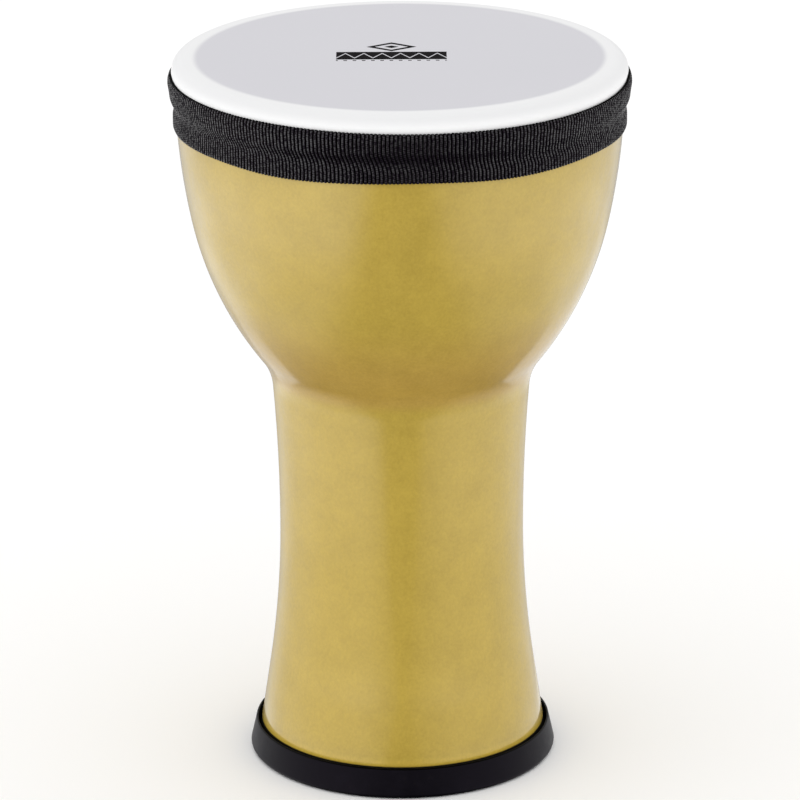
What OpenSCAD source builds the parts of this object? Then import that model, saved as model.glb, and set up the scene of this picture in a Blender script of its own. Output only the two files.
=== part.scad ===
// Hand drum of the goblet kind: a moulded one-piece shell, a factory-tuned film head on a
// flesh hoop, a webbing belt that hides the hoop, and a rubber ring under the foot.
// Millimetres. The drum stands on Z = 0 with its axis on Z, and every piece is round.

/* [Shell] */
// Outer radius at the narrowest place of the stem
waist_r = 48.4; // [46:0.1:51]
// Height of the narrowest place of the stem
waist_h = 96; // [90:1:102]
// Wall thickness of the moulded shell
shell_wall = 3.5; // [3:0.1:4]
// Profile radius of the stem below its narrowest place
stem_curve = 398; // [340:1:460]
// Lean of the straight lower stem from upright, in degrees
stem_taper = 8.4; // [6:0.1:9]
// Height at which the stem turns out into the bowl
knee_h = 153; // [148:0.5:156]
// Lean of the stem just below the bowl, in degrees
knee_lean = 4.6; // [3:0.1:6]
// Profile radius of the hollow curve under the bowl
knee_curve = 25; // [20:1:30]
// Steepest lean of the bowl wall, in degrees
bowl_lean = 37.7; // [35:0.1:40]
// Profile radius of the lower bowl
bowl_curve = 138; // [130:1:142]
// Lean at which the bowl wall straightens, in degrees
shoulder_lean = 12; // [10:0.5:14]
// Profile radius of the upper bowl
shoulder_curve = 264; // [240:1:280]
// Lean of the bowl wall where the belt hides it, in degrees
rim_lean = 3; // [2:0.5:5]

/* [Head] */
// Height from the floor to the playing face
drum_h = 286.5; // [284:0.5:290]
// Thickness of the head film
film_t = 0.4; // [0.3:0.05:0.6]
// Width of the bearing ring that the film's edge lies on
ring_w = 8; // [7:0.1:9]
// Width of the rounded edge of the head
edge_w = 5.4; // [4.6:0.1:6]
// Height of the rounded edge of the head
edge_h = 4.4; // [3.6:0.1:5]
// Height of the flesh hoop
hoop_h = 7; // [5:0.5:7.5]
// Thickness of the flesh hoop
hoop_t = 1; // [0.8:0.1:1.4]

/* [Belt] */
// Width of the webbing
belt_w = 20; // [18:0.5:21]
// Thickness of the webbing
belt_t = 1; // [0.8:0.1:1.6]
// Height from the floor to the webbing's lower edge
belt_z = 259.9; // [259:0.1:261]
// How far the webbing's top edge stands off the head
belt_flare = 1; // [0.2:0.1:1.2]

/* [Foot ring] */
// Height of the rubber ring
foot_h = 12; // [10:0.5:14]
// Outer radius of the rubber ring near the floor
foot_r = 61.1; // [60.6:0.1:62]
// Outer radius of the ring's upper lip
foot_lip_r = 58.9; // [58.5:0.1:59.3]
// Thickness of the ring's upper lip
foot_lip_t = 0.9; // [0.7:0.1:1.2]
// Thickness of rubber between the shell and the floor
foot_web = 3; // [2:0.5:4]
// Thickness of the ring's inner wall
foot_inner_t = 1.9; // [1.5:0.1:2.5]

/* [Hidden] */
$fn = 180;

// An outline is a chain of arcs. One place on it is [radius, height, lean], where lean is the
// wall's angle from upright, positive where the wall widens upwards.
lean_step = 2;

// Places along an arc of the given profile radius that starts at place p and ends at a lean.
function arc_places(p, curve, lean) =
    let (n = max(3, ceil(abs(lean - p[2]) / lean_step)), turn = sign(lean - p[2]) * curve)
    [for (i = [1:n]) let (a = p[2] + (lean - p[2]) * i / n)
        [p[0] + turn * (cos(p[2]) - cos(a)), p[1] + turn * (sin(a) - sin(p[2])), a]];

// Places along a chain of arcs, each given as [profile radius, lean at its top].
function chain_places(p, arcs, i = 0) =
    i == len(arcs) ? [p] :
    let (arc = arc_places(p, arcs[i][0], arcs[i][1]))
    concat([p], [for (k = [0:len(arc) - 2]) arc[k]], chain_places(arc[len(arc) - 1], arcs, i + 1));

// The outline moved inwards, at right angles to the wall.
function outline(places, inset) =
    [for (p = places) [p[0] - inset * cos(p[2]), p[1] + inset * sin(p[2])]];

// The same points in the opposite order.
function backwards(points) = [for (i = [len(points) - 1:-1:0]) points[i]];

// Points on an arc of an ellipse with half-axes w and h, from angle a to angle b.
function arc_points(centre, w, h, a, b) =
    let (n = ceil(abs(b - a) / 10))
    [for (i = [0:n]) let (t = a + (b - a) * i / n) [centre[0] + w * cos(t), centre[1] + h * sin(t)]];

// Smooth step from 0 to 1 as t goes from 0 to 1.
function ease(t) = let (u = max(0, min(1, t))) u * u * (3 - 2 * u);

// Shell: the stem below the waist, then the stem, the knee and the bowl above it.
cone_top = [waist_r + stem_curve * (1 - cos(stem_taper)), waist_h - stem_curve * sin(stem_taper)];
stem_rise = (knee_h - waist_h) / sin(knee_lean);
shell_places = chain_places([cone_top[0], cone_top[1], -stem_taper], [
    [stem_curve, 0],
    [stem_rise, knee_lean],
    [knee_curve, bowl_lean],
    [bowl_curve, shoulder_lean],
    [shoulder_curve, rim_lean]
]);
bowl_top = shell_places[len(shell_places) - 1];
rim_inset = 0.5;
rim_step = 1.5;
rim_r = bowl_top[0] - rim_inset;
rim_z = bowl_top[1] + rim_step;

// Head: film over the bearing ring, held down by the hoop around the shell's rim.
ring_gap = 0.1;
hoop_cover = 0.6;
hoop_over_shell = 2;
film_hem = 0.3;
ring_spigot = 8;
ring_round = 1;
film_r = rim_r + ring_gap + hoop_t + ring_gap + film_t;
hoop_top = belt_z + belt_w - hoop_cover;
hoop_z = hoop_top - hoop_h;
hem_z = hoop_z - film_hem;
ring_seat_z = hoop_z + hoop_over_shell;

// The head's rounded edge, from its outer side up to its flat top, inset by a film's thickness.
function head_edge(inset) =
    arc_points([film_r - edge_w, drum_h - edge_h], edge_w - inset, edge_h - inset, 0, 90);

// Foot ring: the shell stands in a channel between an outer and an inner wall.
foot_grip = 2;
foot_round = 2;
foot_inner_h = 9;

// Radius of the lower stem at a height, outside and inside.
function stem_r(z) = cone_top[0] + (cone_top[1] - z) * tan(stem_taper);
function stem_in_r(z) = stem_r(z) - shell_wall / cos(stem_taper);

// Webbing: it follows the bowl, dips into a crease below the hoop, climbs over the hoop and
// leans out at its top edge. Each stage starts at a share of the webbing's width.
belt_gap = 0.05;
crease_from = 0.22;
crease_to = 0.34;
climb_from = 0.38;
climb_to = (hoop_z - belt_z) / belt_w;
flare_from = 0.55;

// Radius of the webbing's inside at a height above its lower edge.
function belt_in(h) =
    let (share = h / belt_w)
    bowl_top[0] + belt_gap
    - rim_inset * ease((share - crease_from) / (crease_to - crease_from))
    + (film_r + belt_gap - rim_r) * ease((share - climb_from) / (climb_to - climb_from))
    + belt_flare * ease((share - flare_from) / (1 - flare_from));

module shell() {
    color([0.74, 0.64, 0.32])
        rotate_extrude()
            polygon(concat(
                [[stem_in_r(foot_web), foot_web], [stem_r(foot_web), foot_web]],
                outline(shell_places, 0),
                [[rim_r, rim_z], [rim_r, ring_seat_z], [rim_r - shell_wall, ring_seat_z]],
                backwards(outline(shell_places, shell_wall))
            ));
}

module bearing_ring() {
    spigot_r = rim_r - shell_wall - ring_gap;
    spigot_z = ring_seat_z - ring_spigot;
    corner_r = film_r - film_t - ring_w + ring_round;
    color([0.95, 0.95, 0.94])
        rotate_extrude()
            polygon(concat(
                [[spigot_r, spigot_z], [spigot_r, ring_seat_z], [rim_r, ring_seat_z]],
                [[rim_r, hoop_top + ring_gap], [film_r - film_t, hoop_top + ring_gap]],
                head_edge(film_t),
                arc_points([corner_r, drum_h - film_t - ring_round], ring_round, ring_round, 90, 180),
                arc_points([corner_r, spigot_z + ring_round], ring_round, ring_round, 180, 270)
            ));
}

module drumhead() {
    color([0.85, 0.85, 0.87])
        rotate_extrude()
            polygon(concat(
                [[0, drum_h - film_t]],
                backwards(head_edge(film_t)),
                [[film_r - film_t, hem_z], [film_r, hem_z]],
                head_edge(0),
                [[0, drum_h]]
            ));
}

module flesh_hoop() {
    inner_r = rim_r + ring_gap;
    color([0.6, 0.61, 0.62])
        translate([0, 0, hoop_z])
            difference() {
                cylinder(r = inner_r + hoop_t, h = hoop_h);
                translate([0, 0, -1])
                    cylinder(r = inner_r, h = hoop_h + 2);
            }
}

module belt() {
    places = [for (h = [0:1:belt_w]) [belt_in(h), belt_z + h]];
    color([0.09, 0.09, 0.1])
        rotate_extrude()
            polygon(concat(places, backwards([for (p = places) [p[0] + belt_t, p[1]]])));
}

module foot_ring() {
    inner_r = stem_in_r(foot_inner_h) - foot_inner_t;
    grip_z = foot_web + foot_grip;
    lip_round = foot_lip_t / 2;
    lip_centre = [foot_lip_r - lip_round, foot_h - lip_round];
    color([0.12, 0.12, 0.13])
        rotate_extrude()
            polygon(concat(
                [[inner_r, 0]],
                arc_points([foot_r - foot_round, foot_round], foot_round, foot_round, -90, 0),
                arc_points(lip_centre, lip_round, lip_round, 0, 180),
                [[foot_lip_r - foot_lip_t, grip_z], [stem_r(grip_z), grip_z]],
                [[stem_r(foot_web), foot_web], [stem_in_r(foot_web), foot_web]],
                [[stem_in_r(foot_inner_h), foot_inner_h], [inner_r, foot_inner_h]]
            ));
}

shell();
bearing_ring();
drumhead();
flesh_hoop();
belt();
foot_ring();
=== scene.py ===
"""The looks of a pre-tuned goblet hand drum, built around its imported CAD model.

Metres, +Z up, the drum's axis on Z and its foot on Z = 0. The front of the drum faces -Y.
Every piece is turned or woven in mesh code here and stands for one CAD node.
"""

import math

import bpy
import numpy as np
from mathutils import Euler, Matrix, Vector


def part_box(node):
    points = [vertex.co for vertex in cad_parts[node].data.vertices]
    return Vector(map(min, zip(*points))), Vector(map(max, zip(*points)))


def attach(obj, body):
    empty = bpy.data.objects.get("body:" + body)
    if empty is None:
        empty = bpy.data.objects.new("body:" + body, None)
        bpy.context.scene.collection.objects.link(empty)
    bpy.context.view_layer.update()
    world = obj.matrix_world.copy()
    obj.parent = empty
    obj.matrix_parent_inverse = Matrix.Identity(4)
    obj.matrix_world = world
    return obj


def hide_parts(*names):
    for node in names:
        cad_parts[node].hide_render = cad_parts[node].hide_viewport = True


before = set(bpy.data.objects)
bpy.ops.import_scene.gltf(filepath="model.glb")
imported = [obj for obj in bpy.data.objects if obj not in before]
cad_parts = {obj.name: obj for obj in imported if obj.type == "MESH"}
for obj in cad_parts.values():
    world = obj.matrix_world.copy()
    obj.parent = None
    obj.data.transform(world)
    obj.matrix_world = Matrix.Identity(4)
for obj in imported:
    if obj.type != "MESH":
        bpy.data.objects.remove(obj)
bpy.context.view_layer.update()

MM = 0.001
ROOT = "root"
SEED = 7

# How finely a wall is turned: faces around the axis, and degrees of lean along its outline.
SEGMENTS = 288
LEAN_STEP = 0.8

# Places that the CAD model sets, read from the frame.
FOOT_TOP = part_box("foot_ring")[1].z
FOOT_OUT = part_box("foot_ring")[1].x
SHELL_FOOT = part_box("shell")[0].z
SHELL_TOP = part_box("shell")[1].z
BOWL_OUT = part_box("shell")[1].x
HEAD_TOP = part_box("drumhead")[1].z
HEAD_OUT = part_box("drumhead")[1].x
HEM_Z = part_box("drumhead")[0].z
RING_LOW, RING_HIGH = (corner.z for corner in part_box("bearing_ring"))
RING_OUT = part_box("bearing_ring")[1].x
HOOP_LOW, HOOP_HIGH = (corner.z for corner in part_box("flesh_hoop"))
HOOP_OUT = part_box("flesh_hoop")[1].x
BELT_LOW, BELT_HIGH = (corner.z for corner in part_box("belt"))
BELT_W = BELT_HIGH - BELT_LOW

# Driving dimensions that the box of a node doesn't give, as in the CAD model.
WAIST_R, WAIST_H = 48.4 * MM, 96 * MM
WALL = 3.5 * MM
STEM_CURVE, STEM_TAPER = 398 * MM, 8.4
KNEE_H, KNEE_LEAN, KNEE_CURVE = 153 * MM, 4.6, 25 * MM
BOWL_CURVE, BOWL_LEAN = 138 * MM, 37.7
SHOULDER_CURVE, SHOULDER_LEAN, RIM_LEAN = 264 * MM, 12, 3
RIM_INSET, RIM_STEP = 0.5 * MM, 1.5 * MM
RIM_R = BOWL_OUT - RIM_INSET
FILM_T = 0.4 * MM
EDGE_W, EDGE_H = 5.4 * MM, 4.4 * MM
RING_W, RING_GAP, RING_ROUND = 8 * MM, 0.1 * MM, 1 * MM
HOOP_T = 1 * MM
BELT_T, BELT_FLARE, BELT_GAP = 1 * MM, 1 * MM, 0.05 * MM
CREASE_FROM, CREASE_TO, CLIMB_FROM, FLARE_FROM = 0.22, 0.34, 0.38, 0.55
FOOT_LIP_R, FOOT_LIP_T = 58.9 * MM, 0.9 * MM
FOOT_INNER_T, FOOT_INNER_H, FOOT_ROUND, FOOT_GRIP = 1.9 * MM, 9 * MM, 2 * MM, 2 * MM


# ---------------------------------------------------------------- outlines and meshes


def arc(centre, w, h, start, end, step=6):
    """Points on an arc of an ellipse with half-axes w and h, from angle start to angle end."""
    count = max(2, math.ceil(abs(end - start) / step))
    angles = np.radians(np.linspace(start, end, count + 1))
    return [(centre[0] + w * math.cos(a), centre[1] + h * math.sin(a)) for a in angles]


def lean_arc(place, curve, lean):
    """Places (radius, height, lean) along a wall's arc, from a place up to a lean from upright."""
    r, z, start = place
    turn = math.copysign(curve, lean - start)
    count = max(4, math.ceil(abs(lean - start) / LEAN_STEP))
    first = math.radians(start)
    return [
        (
            r + turn * (math.cos(first) - math.cos(a)),
            z + turn * (math.sin(a) - math.sin(first)),
            math.degrees(a),
        )
        for a in np.radians(np.linspace(start, lean, count + 1)[1:])
    ]


def shell_places():
    """The shell's outer wall from the stem's cone to the rim, as places (radius, height, lean)."""
    taper = math.radians(STEM_TAPER)
    cone_r = WAIST_R + STEM_CURVE * (1 - math.cos(taper))
    cone_z = WAIST_H - STEM_CURVE * math.sin(taper)
    places = [(cone_r, cone_z, -STEM_TAPER)]
    stem_rise = (KNEE_H - WAIST_H) / math.sin(math.radians(KNEE_LEAN))
    for curve, lean in (
        (STEM_CURVE, 0),
        (stem_rise, KNEE_LEAN),
        (KNEE_CURVE, BOWL_LEAN),
        (BOWL_CURVE, SHOULDER_LEAN),
        (SHOULDER_CURVE, RIM_LEAN),
    ):
        places += lean_arc(places[-1], curve, lean)
    return places


def inset(places, depth):
    """The places moved inwards at right angles to the wall, as points."""
    leans = [math.radians(lean) for _, _, lean in places]
    return [
        (r - depth * math.cos(a), z + depth * math.sin(a))
        for (r, z, _), a in zip(places, leans)
    ]


def stem_r(z, depth=0.0):
    """Radius of the straight lower stem at a height, moved in through the wall by a depth."""
    r, top, _ = shell_places()[0]
    taper = math.radians(STEM_TAPER)
    return r + (top - z) * math.tan(taper) - depth / math.cos(taper)


def rise(value, start, end):
    """Smooth step from 0 at the start to 1 at the end, which may lie below the start."""
    share = np.clip((value - start) / (end - start), 0, 1)
    return share * share * (3 - 2 * share)


def make_object(name, verts, faces, materials, sharp=40.0):
    """A smooth-shaded mesh object whose edges above the sharp angle stay crisp."""
    mesh = bpy.data.meshes.new(name)
    mesh.from_pydata(verts, [], faces)
    mesh.validate()
    mesh.shade_smooth()
    mesh.set_sharp_from_angle(angle=math.radians(sharp))
    for material in materials:
        mesh.materials.append(material)
    piece = bpy.data.objects.new(name, mesh)
    bpy.context.scene.collection.objects.link(piece)
    return piece


def lathe(name, outline, materials):
    """A closed outline of (radius, height) points, anticlockwise, turned about the Z axis."""
    angles = np.linspace(0, 2 * math.pi, SEGMENTS, endpoint=False)
    verts, rings = [], []
    for r, z in outline:
        if r == 0:
            rings.append([len(verts)])
            verts.append((0, 0, z))
        else:
            rings.append(range(len(verts), len(verts) + SEGMENTS))
            verts += [(r * math.sin(a), -r * math.cos(a), z) for a in angles]
    faces = []
    for low, high in zip(rings, rings[1:] + rings[:1]):
        for i in range(SEGMENTS):
            j = (i + 1) % SEGMENTS
            if len(low) > 1 and len(high) > 1:
                faces.append((low[i], low[j], high[j], high[i]))
            elif len(low) > 1:
                faces.append((low[i], low[j], high[0]))
            elif len(high) > 1:
                faces.append((low[0], high[j], high[i]))
    return make_object(name, verts, faces, materials)


def strip_faces(rows, columns):
    """Faces of a strip that is closed across its rows, with a cap on each end."""
    faces = []
    for i in range(rows):
        low, high = i * columns, (i + 1) % rows * columns
        faces += [(low + k, low + k + 1, high + k + 1, high + k) for k in range(columns - 1)]
    start = [i * columns for i in range(rows)]
    end = [place + columns - 1 for place in start]
    return faces + [start[::-1], end]


def place_piece(piece, node):
    """The piece stands for its CAD node, which it hides, and rides on the drum's one body."""
    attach(piece, ROOT)
    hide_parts(node)


# ---------------------------------------------------------------- materials


class Nodes:
    """A node tree with short calls for the nodes that this script uses."""

    def __init__(self, tree):
        self.tree = tree
        self.tree.nodes.clear()
        self.coords = self.tree.nodes.new("ShaderNodeTexCoord").outputs

    def plug(self, socket, value):
        """Links a value that comes from another node, or sets a constant one."""
        if isinstance(value, bpy.types.NodeSocket):
            self.tree.links.new(value, socket)
        else:
            socket.default_value = value

    def node(self, kind, inputs, **settings):
        """The first output of a new node."""
        node = self.tree.nodes.new(kind)
        for key, value in settings.items():
            setattr(node, key, value)
        for key, value in inputs.items():
            self.plug(node.inputs[key], value)
        return node.outputs[0]

    def math(self, operation, a, b=0.0):
        return self.node("ShaderNodeMath", {0: a, 1: b}, operation=operation)

    def chain(self, operation, first, *others):
        """The operation on the first two values, then on its result and the third, and so on."""
        for value in others:
            first = self.math(operation, first, value)
        return first

    def add(self, *values):
        return self.chain("ADD", *values)

    def times(self, *values):
        return self.chain("MULTIPLY", *values)

    def most(self, *values):
        return self.chain("MAXIMUM", *values)

    def within(self, value, half):
        """1 where the value is less than half a width away from zero."""
        return self.math("LESS_THAN", self.math("ABSOLUTE", value), half)

    def stretch(self, value, low, high, to_low=0.0, to_high=1.0, smooth=True):
        """The value's range from low to high, mapped to another range."""
        return self.node(
            "ShaderNodeMapRange",
            {0: value, 1: low, 2: high, 3: to_low, 4: to_high},
            interpolation_type="SMOOTHSTEP" if smooth else "LINEAR",
        )

    def band(self, value, rise_from, rise_to, fall_from, fall_to, top=1.0):
        """0, then up to the top while the value rises, then down to 0 again."""
        return self.times(
            self.stretch(value, rise_from, rise_to, 0.0, top),
            self.stretch(value, fall_from, fall_to, 1.0, 0.0),
        )

    def scaled(self, vector, scale):
        """The vector or colour, times three factors or one value."""
        return self.node("ShaderNodeVectorMath", {0: vector, 1: scale}, operation="MULTIPLY")

    def noise(self, size, detail=2.0, rough=0.5, vector=None):
        """Noise whose blobs are about this size, in metres."""
        return self.node(
            "ShaderNodeTexNoise",
            {
                "Vector": self.point if vector is None else vector,
                "Scale": 1 / size,
                "Detail": detail,
                "Roughness": rough,
            },
        )

    def mix(self, factor, a, b):
        """A colour between a and b."""
        node = self.tree.nodes.new("ShaderNodeMix")
        node.data_type = "RGBA"
        self.plug(node.inputs[0], factor)
        self.plug(node.inputs[6], a)
        self.plug(node.inputs[7], b)
        return node.outputs[2]

    def bump(self, height, depth, normal=None):
        """A normal from heights of 0 to 1 that stand for this depth, in metres."""
        inputs = {"Height": height, "Distance": depth, "Strength": 1.0}
        if normal is not None:
            inputs["Normal"] = normal
        return self.node("ShaderNodeBump", inputs)

    def split(self, vector):
        """The vector's x, y and z."""
        node = self.tree.nodes.new("ShaderNodeSeparateXYZ")
        self.plug(node.inputs[0], vector)
        return node.outputs[0], node.outputs[1], node.outputs[2]


class Shader(Nodes):
    """A material of one principled surface, patterned by places on the drum."""

    def __init__(self, name):
        self.material = bpy.data.materials.new(name)
        self.material.use_nodes = True
        super().__init__(self.material.node_tree)
        output = self.tree.nodes.new("ShaderNodeOutputMaterial")
        self.surface = self.tree.nodes.new("ShaderNodeBsdfPrincipled")
        self.tree.links.new(self.surface.outputs[0], output.inputs["Surface"])
        self.point = self.coords["Object"]

    def set(self, **inputs):
        """Sets the surface's sockets by name, with spaces written as underscores."""
        for key, value in inputs.items():
            self.plug(self.surface.inputs[key.replace("_", " ")], value)


def colour(r, g, b):
    return (r, g, b, 1.0)


def gold_lacquer():
    """Champagne-gold lacquer: clouds of flake and a fine grain under a clear coat.

    Under the bowl the gold is warmer, a painted reflection of warm light from below. Just above
    the foot ring's lip it is brighter, which is painted light. Below the lip's top, in the ring's
    channel, it turns black, which is painted shade.
    """
    s = Shader("gold_lacquer")
    cloud = s.noise(14 * MM, 3, 0.6)
    patch = s.noise(3.2 * MM, 3, 0.55)
    grain = s.noise(1.0 * MM, 2, 0.6, s.scaled(s.point, (1, 1, 0.85)))
    blend = s.add(s.times(cloud, 0.37), s.times(patch, 0.21), s.times(grain, 0.42))
    tone = s.stretch(blend, 0.37, 0.63, smooth=False)
    gold = s.mix(tone, colour(0.458, 0.317, 0.034), colour(0.544, 0.380, 0.046))
    # Painted reflection: a warmer gold for under the bowl, where warm light from below would
    # reflect.
    warm_painted_reflection = s.mix(tone, colour(0.458, 0.292, 0.044), colour(0.544, 0.350, 0.058))
    _, _, z = s.split(s.point)
    painted_reflection_under_bowl = s.band(z, KNEE_H + 3 * MM, KNEE_H + 9 * MM, 170 * MM, 205 * MM)
    # Painted light: the gold is made up to a third brighter just above the foot ring's lip.
    bright = s.stretch(z, FOOT_TOP, FOOT_TOP + 4 * MM, 1.35, 1.0)
    lacquer = s.scaled(s.mix(painted_reflection_under_bowl, gold, warm_painted_reflection), bright)
    # Painted shade: below the lip's top, inside the foot ring's channel, the gold is made black
    # and has no coat.
    above_channel_shade = s.stretch(z, FOOT_TOP - 0.3 * MM, FOOT_TOP + 0.2 * MM)
    stem_coat = s.stretch(z, KNEE_H, KNEE_H + 10 * MM, 0.74, 0.8)
    bowl_coat = s.stretch(z, 190 * MM, 240 * MM)
    s.set(
        Base_Color=s.mix(above_channel_shade, colour(0.004, 0.004, 0.004), lacquer),
        Metallic=0.1,
        Roughness=s.stretch(patch, 0.3, 0.7, 0.42, 0.52, smooth=False),
        Specular_IOR_Level=0.5,
        Coat_Weight=s.times(above_channel_shade, s.most(stem_coat, bowl_coat)),
        Coat_Roughness=0.09,
        Coat_IOR=1.5,
        Normal=s.bump(grain, 0.03 * MM, s.bump(patch, 0.02 * MM)),
    )
    return s.material


def bare_plastic():
    """The shell's inside: dull dark moulded plastic with a fine pebbled face."""
    s = Shader("bare_plastic")
    pebble = s.noise(0.9 * MM, 3, 0.6)
    stain = s.noise(35 * MM, 3, 0.6)
    s.set(
        Base_Color=s.mix(stain, colour(0.045, 0.043, 0.040), colour(0.075, 0.071, 0.066)),
        Roughness=s.stretch(pebble, 0.3, 0.7, 0.5, 0.68, smooth=False),
        Normal=s.bump(pebble, 0.08 * MM),
    )
    return s.material


def white_plastic():
    """The bearing ring: plain white moulded plastic, slightly marbled by its grain."""
    s = Shader("white_plastic")
    grain = s.noise(0.7 * MM, 2)
    s.set(
        Base_Color=s.mix(s.noise(12 * MM), colour(0.84, 0.84, 0.83), colour(0.88, 0.88, 0.87)),
        Roughness=s.stretch(grain, 0.3, 0.7, 0.38, 0.48, smooth=False),
        Normal=s.bump(grain, 0.02 * MM),
    )
    return s.material


def plated_steel():
    """The hoop: zinc-plated strip with marks along its rolling direction."""
    s = Shader("plated_steel")
    rolled = s.noise(1.5 * MM, 4, vector=s.scaled(s.point, (1, 1, 12)))
    s.set(
        Base_Color=s.mix(rolled, colour(0.50, 0.51, 0.53), colour(0.62, 0.63, 0.64)),
        Metallic=1.0,
        Roughness=s.stretch(rolled, 0.3, 0.7, 0.28, 0.42, smooth=False),
        Normal=s.bump(rolled, 0.01 * MM),
    )
    return s.material


def printed_ornament(s):
    """A generic print, 1 where there is ink: a bar with a zigzag through it, dots, a lozenge."""
    centre_x, centre_y = -3.2 * MM, -0.3 * MM
    half_w, half_h = 21.4 * MM, 5.6 * MM
    pitch, steepness, half_line = 7.13 * MM, 1.9, 0.55 * MM
    dot_w, dot_h, dot_drop = 0.7 * MM, 0.55 * MM, 1.5 * MM
    lozenge_w, lozenge_h, lozenge_gap = 9.8 * MM, 6.6 * MM, 0.9 * MM
    rim_from, heart_to = 0.66, 0.3

    x, y, _ = s.split(s.point)
    x = s.math("SUBTRACT", x, centre_x)
    y = s.math("SUBTRACT", y, centre_y)
    from_left = s.add(x, half_w)

    swing = s.math("PINGPONG", from_left, pitch / 2)
    zigzag = s.times(s.math("SUBTRACT", swing, pitch / 4), steepness)
    line = s.within(s.math("SUBTRACT", y, zigzag), half_line)
    bar = s.times(s.within(x, half_w), s.within(y, half_h), s.math("SUBTRACT", 1.0, line))

    beat = s.within(s.math("PINGPONG", from_left, pitch / 4), dot_w)
    dots = s.times(beat, s.within(x, half_w), s.within(s.add(y, half_h + dot_drop), dot_h))

    # The lozenge's outline is where its two shares add up to 1.
    up = s.math("SUBTRACT", y, half_h + lozenge_gap + lozenge_h)
    share = s.add(
        s.math("DIVIDE", s.math("ABSOLUTE", x), lozenge_w),
        s.math("DIVIDE", s.math("ABSOLUTE", up), lozenge_h),
    )
    rim = s.times(s.math("LESS_THAN", share, 1.0), s.math("GREATER_THAN", share, rim_from))
    heart = s.math("LESS_THAN", share, heart_to)
    return s.most(bar, dots, rim, heart)


def head_film():
    """Translucent film: grey over the hollow, white where the ring backs it, with flat ink."""
    s = Shader("head_film")
    x, y, z = s.split(s.point)
    radius = s.math("SQRT", s.add(s.times(x, x), s.times(y, y)))
    face_r = RING_OUT - RING_W
    backed = s.stretch(radius, face_r - 1.6 * MM, face_r + 1.3 * MM)
    tooth = s.noise(0.5 * MM, 2)
    cloud = s.noise(40 * MM, 2)
    grey = s.mix(cloud, colour(0.600, 0.595, 0.629), colour(0.609, 0.602, 0.636))
    # Painted light: the white grows whiter down the head's rounded edge towards the belt.
    painted_light_down_edge = s.stretch(z, HEAD_TOP - EDGE_H - 1 * MM, HEAD_TOP - 1 * MM, 1.0, 0.0)
    white = s.mix(painted_light_down_edge, colour(0.800, 0.800, 0.805), colour(0.935, 0.935, 0.935))
    ink = printed_ornament(s)
    s.set(
        Base_Color=s.mix(ink, s.mix(backed, grey, white), colour(0.006, 0.005, 0.006)),
        Roughness=s.stretch(ink, 0, 1, 0.42, 0.95),
        Specular_IOR_Level=0.06,
        Normal=s.bump(tooth, 0.008 * MM),
    )
    return s.material


def webbing_weave():
    """Black ribbed webbing: yarn that shines along each rib's crest, with painted shade between
    the ribs and on the strip's top face.

    The strip's own coordinates count its ribs along it, and give metres across it.
    """
    s = Shader("webbing_weave")
    stitch_h = 0.85 * MM
    along, up, _ = s.split(s.node("ShaderNodeUVMap", {}, uv_map="strip"))
    # Painted shade: the strip's top face, its last fraction of a millimetre across, is made black
    # without gloss.
    face = s.stretch(up, BELT_W - 0.22 * MM, BELT_W - 0.02 * MM, 1.0, 0.0)
    hill = s.times(s.math("PINGPONG", along, 0.5), face)
    crest = s.stretch(hill, 0.12, 0.30)
    # Every other rib's stitches are offset by half a stitch.
    offset = s.times(s.math("FLOOR", along), 0.5)
    stitch = s.add(s.math("DIVIDE", up, stitch_h), offset)
    yarn = s.stretch(s.math("PINGPONG", stitch, 0.5), 0.05, 0.4)
    fleck = s.noise(0.8 * MM, 2, 0.7)
    gloss = s.times(
        s.stretch(yarn, 0, 1, 0.35, 1.2),
        s.stretch(fleck, 0.40, 0.64, 0.08, 1.5),
        s.stretch(hill, 0.16, 0.36, 0.0, 1.25),
    )
    s.set(
        # Painted shade: the colour is near black between the ribs and on the top face.
        Base_Color=s.mix(
            s.times(crest, s.stretch(yarn, 0, 1, 0.5, 1.0)),
            colour(0.0003, 0.0002, 0.0003),
            colour(0.0086, 0.0046, 0.0104),
        ),
        Roughness=s.stretch(fleck, 0.3, 0.7, 0.6, 0.45),
        Specular_IOR_Level=0.02,
        Coat_Weight=s.math("MINIMUM", gloss, 1.0),
        Coat_Roughness=0.3,
        Coat_IOR=1.62,
        Normal=s.bump(s.times(yarn, crest), 0.08 * MM, s.bump(fleck, 0.05 * MM)),
    )
    return s.material


def satin_rubber():
    """Black rubber with a faint mould grain and dusty scuffs, and painted shade on its lip's top.
    """
    s = Shader("satin_rubber")
    grain = s.noise(0.6 * MM, 3, 0.6)
    scuff = s.noise(9 * MM, 4, 0.65)
    _, _, z = s.split(s.point)
    # Painted shade: the lip's top is made near black, and its reflection is tinted down to dark
    # grey.
    lip = s.stretch(z, FOOT_TOP - 0.7 * MM, FOOT_TOP - 0.2 * MM)
    dusty = s.stretch(scuff, 0.45, 0.75)
    face = s.mix(dusty, colour(0.0022, 0.0021, 0.0032), colour(0.0042, 0.0038, 0.0058))
    s.set(
        Base_Color=s.mix(lip, face, colour(0.0005, 0.0005, 0.0006)),
        Roughness=s.stretch(scuff, 0.3, 0.7, 0.40, 0.50, smooth=False),
        Specular_IOR_Level=0.09,
        Specular_Tint=s.mix(lip, colour(0.96, 0.80, 1.08), colour(0.1, 0.1, 0.1)),
        Normal=s.bump(grain, 0.025 * MM),
    )
    return s.material


def pale_floor():
    """The floor's plain matt white."""
    s = Shader("pale_floor")
    s.set(Base_Color=colour(0.97, 0.97, 0.97), Roughness=0.9, Specular_IOR_Level=0.1)
    return s.material


# ---------------------------------------------------------------- camera, floor and lights


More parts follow.
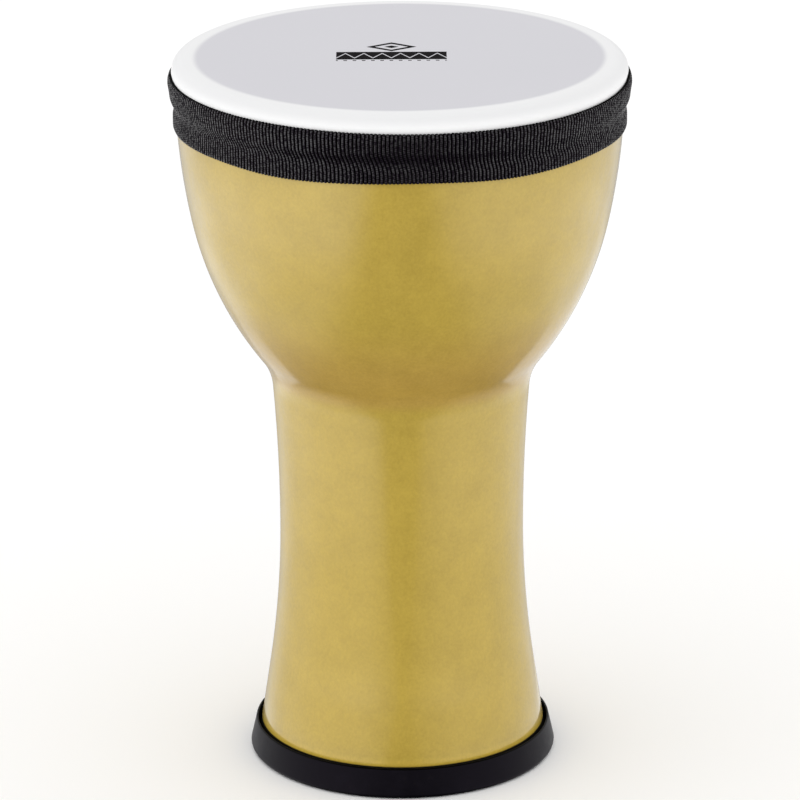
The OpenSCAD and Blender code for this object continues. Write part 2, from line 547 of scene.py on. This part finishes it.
def add_camera():
    """The camera stands two metres in front of the drum and looks down at it."""
    data = bpy.data.cameras.new("camera")
    data.sensor_width = 36.0
    data.lens = 238.4
    data.shift_x = -0.0015
    data.clip_start, data.clip_end = 0.1, 50.0
    camera = bpy.data.objects.new("camera", data)
    camera.location = (0.0, -1.985, 0.822)
    pitch, roll = 18.82, 0.25
    camera.rotation_mode = "QUATERNION"
    look = Euler((math.radians(90 - pitch), 0, 0)).to_quaternion()
    twist = Euler((0, 0, math.radians(-roll))).to_quaternion()
    camera.rotation_quaternion = look @ twist
    bpy.context.scene.collection.objects.link(camera)
    bpy.context.scene.camera = camera


def add_floor():
    """A wide floor that gloss doesn't show, so the drum's gloss meets the studio's panels."""
    half = 12.0
    verts = [(-half, -half, 0), (half, -half, 0), (half, half, 0), (-half, half, 0)]
    floor = make_object("floor", verts, [(0, 1, 2, 3)], [pale_floor()])
    floor.visible_glossy = False


def studio_light(n):
    """How bright the studio is in each direction, as the drum sees it.

    What is above the horizon lights everything. The floor hides what is below the horizon from
    all but gloss, so that part is only what the drum's gloss shows.
    """
    left_light, right_light, corner_light = 2.2, 1.75, 1.4
    glow_light, back_light, overhead_light = 1.4, 1.15, 1.35
    x, y, z = n.split(n.coords["Generated"])
    down = n.times(z, -1.0)

    # A softbox on each side, with a slanting near edge, a brighter middle and a lit skirting.
    left = n.stretch(n.times(x, -1.0), -0.1, 0.6, 0.0, left_light)
    left = n.times(left, n.stretch(y, 0.1, 0.5, 1.0, 0.8))
    right = n.stretch(x, -0.1, 0.8, 0.0, right_light)
    aside = n.math("DIVIDE", n.math("ABSOLUTE", x), n.most(down, 0.05))
    aside = n.math("SUBTRACT", aside, n.stretch(y, -0.2, 0.3, 0.0, 0.12))
    skirting = n.band(down, -0.02, 0.04, 0.08, 0.2, 0.38)
    level = n.add(n.stretch(down, 0.31, 0.42, 0.70, 1.04), skirting)
    level = n.times(level, n.stretch(down, 0.54, 0.7, 1.0, 0.62))
    sides = n.times(n.most(left, right), n.stretch(aside, 0.28, 0.85), level)

    # Behind the drum: the wall, a low panel on the right and a low glow in the middle.
    back = n.times(n.stretch(y, 0.0, 0.6, 0.0, back_light), n.stretch(z, -0.7, -0.3))
    back = n.times(back, n.stretch(y, 0.83, 0.96, 1.0, 0.55))
    corner = n.times(
        n.band(x, 0.02, 0.16, 0.45, 0.8, corner_light),
        n.band(z, -0.75, -0.5, -0.38, -0.28),
        n.stretch(y, 0.4, 0.7),
    )
    glow = n.times(
        n.stretch(y, 0.50, 0.62, 0.0, glow_light),
        n.band(z, -0.78, -0.68, -0.52, -0.44),
    )

    room = n.stretch(z, -0.02, 0.12, 0.03, 1.3)
    overhead = n.stretch(z, 0.35, 0.8, 0.0, overhead_light)
    return n.most(room, sides, corner, glow, back, overhead)


def light_studio():
    """The studio is the world around the drum, and the view keeps its colours as they are."""
    world = bpy.data.worlds.new("studio")
    bpy.context.scene.world = world
    world.use_nodes = True
    n = Nodes(world.node_tree)
    background = n.tree.nodes.new("ShaderNodeBackground")
    n.plug(background.inputs["Strength"], studio_light(n))
    output = n.tree.nodes.new("ShaderNodeOutputWorld")
    n.tree.links.new(background.outputs[0], output.inputs["Surface"])
    view = bpy.context.scene.view_settings
    view.view_transform = "Standard"
    view.look = "None"
    view.exposure = 0.0
    view.gamma = 1.0


# ---------------------------------------------------------------- pieces


def make_shell():
    """The goblet shell: lacquered outside, bare inside, with its wall's real thickness."""
    places = shell_places()
    rim_z = places[-1][1] + RIM_STEP
    soft = 0.8 * MM
    foot_out, foot_in = stem_r(SHELL_FOOT), stem_r(SHELL_FOOT, WALL)
    outer = (
        arc((foot_out - soft, SHELL_FOOT + soft), soft, soft, -90, 0, 30)
        + inset(places, 0)
        + [(RIM_R, rim_z), (RIM_R, SHELL_TOP)]
    )
    inner = (
        [(RIM_R - WALL, SHELL_TOP)]
        + inset(places, WALL)[::-1]
        + arc((foot_in + soft, SHELL_FOOT + soft), soft, soft, 180, 270, 30)
    )
    shell = lathe("shell_body", outer + inner, [gold_lacquer(), bare_plastic()])
    for face in shell.data.polygons:
        if face.index >= len(outer) * SEGMENTS:
            face.material_index = 1
    place_piece(shell, "shell")


def head_edge(depth):
    """The head's rounded edge, from its outer side up to its flat top, inset by a depth."""
    return arc((HEAD_OUT - EDGE_W, HEAD_TOP - EDGE_H), EDGE_W - depth, EDGE_H - depth, 0, 90)


def make_bearing_ring():
    """The white ring on the shell's mouth, rounded on top where the film bends over it."""
    spigot_r = RIM_R - WALL - RING_GAP
    face_r = RING_OUT - RING_W + RING_ROUND
    outline = (
        [(spigot_r, RING_LOW), (spigot_r, SHELL_TOP), (RIM_R, SHELL_TOP)]
        + [(RIM_R, HOOP_HIGH + RING_GAP), (RING_OUT, HOOP_HIGH + RING_GAP)]
        + head_edge(FILM_T)
        + arc((face_r, RING_HIGH - RING_ROUND), RING_ROUND, RING_ROUND, 90, 180, 15)
        + arc((face_r, RING_LOW + RING_ROUND), RING_ROUND, RING_ROUND, 180, 270, 15)
    )
    place_piece(lathe("rim_ring", outline, [white_plastic()]), "bearing_ring")


def make_drumhead():
    """The film: a flat face, a rounded edge and a skirt that the hoop and belt hold."""
    bulge, edge_drop, belt_cover = 0.5 * MM, 0.6 * MM, 0.4 * MM
    # A few rings break up the flat face.
    top = [(r * MM, HEAD_TOP) for r in (79, 60, 40, 20, 0)]
    under = [(r, HEAD_TOP - FILM_T) for r, _ in top[::-1]]
    edge_h = EDGE_H + edge_drop
    outline = (
        under
        + head_edge(FILM_T)[::-1]
        + [(HEAD_OUT - FILM_T, HEM_Z), (HEAD_OUT, HEM_Z), (HEAD_OUT, BELT_HIGH - belt_cover)]
        + arc((HEAD_OUT + bulge - EDGE_W, HEAD_TOP - edge_h), EDGE_W, edge_h, 0, 90)
        + top
    )
    place_piece(lathe("head_film", outline, [head_film()]), "drumhead")


def make_hoop():
    """The steel hoop under the film's skirt, with its long edges broken."""
    bevel = 0.2 * MM
    inner, outer = HOOP_OUT - HOOP_T + bevel, HOOP_OUT - bevel
    low, high = HOOP_LOW + bevel, HOOP_HIGH - bevel
    corners = ((inner, low, 180), (outer, low, -90), (outer, high, 0), (inner, high, 90))
    outline = []
    for r, z, start in corners:
        outline += arc((r, z), bevel, bevel, start, start + 90, 45)
    place_piece(lathe("steel_hoop", outline, [plated_steel()]), "flesh_hoop")


def belt_inside(share, flare):
    """Radius of the webbing's inside at a share of its width, from its lower edge up."""
    climb_to = (HOOP_LOW - BELT_LOW) / BELT_W
    return (
        BOWL_OUT
        + BELT_GAP
        - RIM_INSET * rise(share, CREASE_FROM, CREASE_TO)
        + (HEAD_OUT + BELT_GAP - RIM_R) * rise(share, CLIMB_FROM, climb_to)
        + flare * rise(share, FLARE_FROM, 1)
    )


def make_belt():
    """The ribbed webbing, woven as one strip whose ends overlap at the back of the drum."""
    rib_pitch, rib_depth, rib_sunk = 1.523 * MM, 0.6 * MM, 0.7
    rib_squareness, rib_columns = 2.8, 8
    overlap, ramp, lap_gap = 24 * MM, 14 * MM, 0.3 * MM
    edge_h, edge_thinness, edge_scallop = 0.25 * MM, 0.65, 0.45 * MM
    mean_r = BOWL_OUT + 1.5 * MM
    ribs = round((2 * math.pi * mean_r + overlap) / rib_pitch)
    length = ribs * rib_pitch

    # Each rib is a flattened cord, so its crest is broad and the groove beside it is sharp.
    across = (1 - np.cos(math.pi * np.arange(rib_columns) / rib_columns)) / 2
    off_crest = np.abs(2 * across - 1)
    crest = np.append(np.tile(np.sqrt(1 - off_crest**rib_squareness), ribs), 0.0)
    scallop = np.append(np.tile(np.sqrt(1 - off_crest**2), ribs), 0.0)
    rib_at = np.append((np.arange(ribs)[:, None] + across).ravel(), ribs)
    along = rib_at * rib_pitch - length / 2
    angle = along / mean_r

    # The outer end lies on the inner one, and climbs onto it over the ramp.
    lap_from = length / 2 - overlap - ramp
    lift = (BELT_T + lap_gap) * rise(along, lap_from, lap_from + ramp)

    # Slow waves round the drum vary how far the ribs lean and how far the top edge stands off.
    rng = np.random.default_rng(SEED)
    waves = [(k, rng.uniform(-1, 1), rng.uniform(0, 2 * math.pi)) for k in (2, 3, 5, 8, 13)]
    wander = sum(a * np.sin(k * angle + p) for k, a, p in waves) / len(waves)
    lean = (1.9 + 0.8 * wander) * MM * rise(length / 2 - np.abs(along), 0, 30 * MM)
    flare = BELT_FLARE * (0.85 + 0.3 * wander)

    # The lower and the upper edge have waves of their own at the front.
    front, wide_front = rise(np.abs(angle), 1.6, 0.6), rise(np.abs(angle), 2, 1)
    low_wave = (0.25 * wander - 0.55 * np.cos(6 * angle) * front) * MM
    top_wave = (0.08 - 0.5 * np.sin(1.75 * angle) * wide_front) * MM

    # One row of points runs along the strip at each share of its width: up its outer face, with
    # close rows at the two edges, and down its inner face. The ribs lean in the lower part, the
    # outer face rolls back in at the top, and the webbing thins out at both edges.
    edge = edge_h / BELT_W
    outer_rows = np.concatenate(([0.0, edge], np.linspace(0.04, 0.96, 19), [1 - edge, 1.0]))
    rows = [(share, True) for share in outer_rows]
    rows += [(share, False) for share in np.linspace(1, 0, 6)]
    verts, strip = [], []
    for share, outer in rows:
        turn = angle + lean * rise(share, 0.66, 0.16) / mean_r
        if outer:
            rolled = 1 - 0.75 * rise(share, 0.86, 1)
            selvedge = rise(min(share, 1 - share), 0, 0.035)
            radius = belt_inside(share, flare * rolled) + lift
            radius += BELT_T * (edge_thinness + (1 - edge_thinness) * selvedge)
            radius += rib_depth * (crest - rib_sunk)
        else:
            radius = belt_inside(share, 0.1 * flare) + lift
        z = BELT_LOW + BELT_W * share - low_wave * (1 - share) + top_wave * share
        if share in (0, 1):
            z -= math.copysign(edge_scallop, share - 0.5) * (1 - scallop)
        verts.extend(zip(radius * np.sin(turn), -radius * np.cos(turn), z))
        strip.extend(zip(rib_at, np.full(len(along), share * BELT_W)))

    faces = strip_faces(len(rows), len(along))
    belt = make_object("webbing_belt", verts, faces, [webbing_weave()], sharp=100)
    layer = belt.data.uv_layers.new(name="strip")
    corner_verts = np.zeros(len(belt.data.loops), dtype=np.int32)
    belt.data.loops.foreach_get("vertex_index", corner_verts)
    layer.data.foreach_set("uv", np.array(strip, dtype=np.float32)[corner_verts].ravel())
    place_piece(belt, "belt")


def make_foot_ring():
    """The rubber ring: a channel that grips the shell, with a thin lip that stands off it."""
    inner_r = stem_r(FOOT_INNER_H, WALL) - FOOT_INNER_T
    grip_z = SHELL_FOOT + FOOT_GRIP
    lip, soft = FOOT_LIP_T / 2, 0.5 * MM
    lip_in = FOOT_LIP_R - FOOT_LIP_T
    groove_in, groove_out = inner_r + 1.6 * MM, inner_r + 3.0 * MM
    groove_h, groove_slope = 0.35 * MM, 0.3 * MM
    outline = (
        arc((inner_r + soft, soft), soft, soft, 180, 270, 15)
        + [(groove_in, 0), (groove_in + groove_slope, groove_h)]
        + [(groove_out - groove_slope, groove_h), (groove_out, 0)]
        + arc((FOOT_OUT - FOOT_ROUND, FOOT_ROUND), FOOT_ROUND, FOOT_ROUND, -90, 0, 9)
        + arc((FOOT_LIP_R - lip, FOOT_TOP - lip), lip, lip, 0, 180, 15)
        + arc((lip_in - soft, grip_z + soft), soft, soft, 0, -90, 30)
        + [(stem_r(grip_z), grip_z), (stem_r(SHELL_FOOT), SHELL_FOOT)]
        + [(stem_r(SHELL_FOOT, WALL), SHELL_FOOT)]
        + [(stem_r(FOOT_INNER_H - soft, WALL), FOOT_INNER_H - soft)]
        + arc((inner_r + soft, FOOT_INNER_H - soft), soft, soft, 90, 180, 15)
    )
    place_piece(lathe("rubber_foot", outline, [satin_rubber()]), "foot_ring")


add_camera()
add_floor()
light_studio()
make_shell()
make_bearing_ring()
make_drumhead()
make_hoop()
make_belt()
make_foot_ring()
